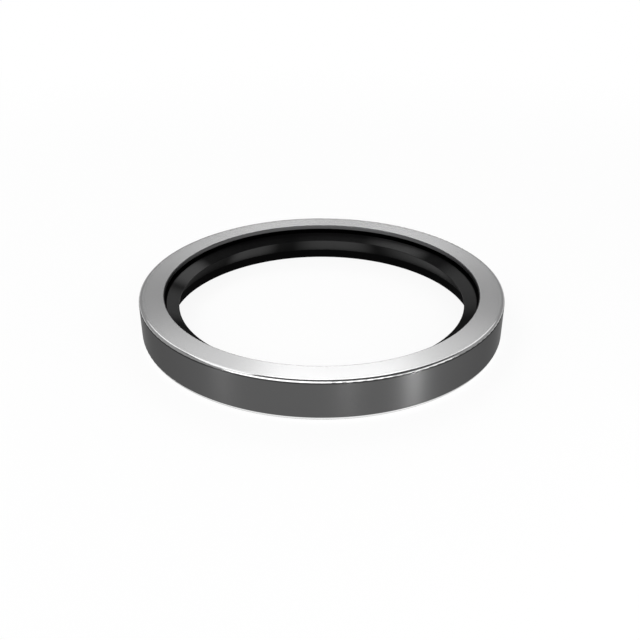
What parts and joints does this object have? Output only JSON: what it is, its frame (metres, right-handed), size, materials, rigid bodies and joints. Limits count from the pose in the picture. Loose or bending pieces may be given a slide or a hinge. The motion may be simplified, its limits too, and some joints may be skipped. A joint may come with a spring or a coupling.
{
  "type": "radial shaft lip seal",
  "caption": "Metal-cased radial shaft seal: a pressed steel ring with a flat oil-side flange, holding a black rubber lip that a garter spring pulls on to the shaft.",
  "frame": {"origin": "on the seal's axis, in the plane of the air-side face that it rests on", "axes": "+Z along the axis, from the air-side face to the oil-side face; X and Y are free, because the seal is round"},
  "size_m": [0.09, 0.09, 0.01],
  "materials": {
    "outer_case_steel": "ground dark grey steel",
    "inner_case_steel": "bright satin steel",
    "lip_rubber": "smooth black moulded rubber",
    "spring_steel": "drawn spring wire"
  },
  "bodies": {
    "root": {"outer_case": "outer_case_steel", "inner_case": "inner_case_steel", "sealing_lip": "lip_rubber", "garter_spring": "spring_steel"}
  },
  "joints": []
}
